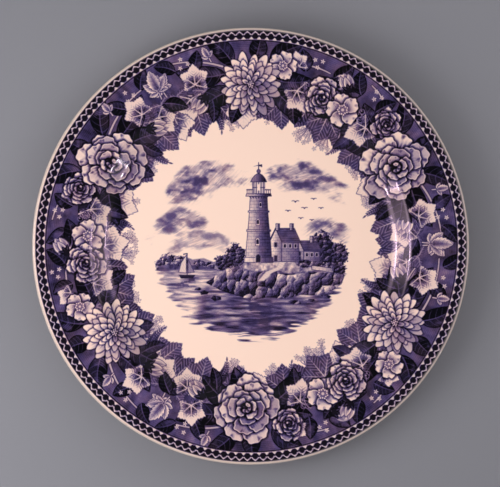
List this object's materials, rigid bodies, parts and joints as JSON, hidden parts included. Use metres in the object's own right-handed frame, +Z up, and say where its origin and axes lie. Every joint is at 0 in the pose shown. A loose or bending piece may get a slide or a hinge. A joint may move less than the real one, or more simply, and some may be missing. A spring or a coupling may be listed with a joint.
{
  "type": "souvenir plate",
  "caption": "Round shallow display plate with a flat well, sloping wall, wide rim and foot ring, glazed over a printed scene and floral border.",
  "frame": {"origin": "on the plate's axis, at the flat of the foot ring that it stands on", "axes": "+Z up along the plate's axis, out of the face; +Y is the top of the printed view, +X its right"},
  "size_m": [0.235, 0.235, 0.0224],
  "materials": {
    "fired_clay": "matte",
    "clear_glaze": "gloss"
  },
  "bodies": {
    "root": {"earthenware_body": "fired_clay", "outer_glaze": "clear_glaze", "recess_glaze": "clear_glaze"}
  },
  "joints": []
}
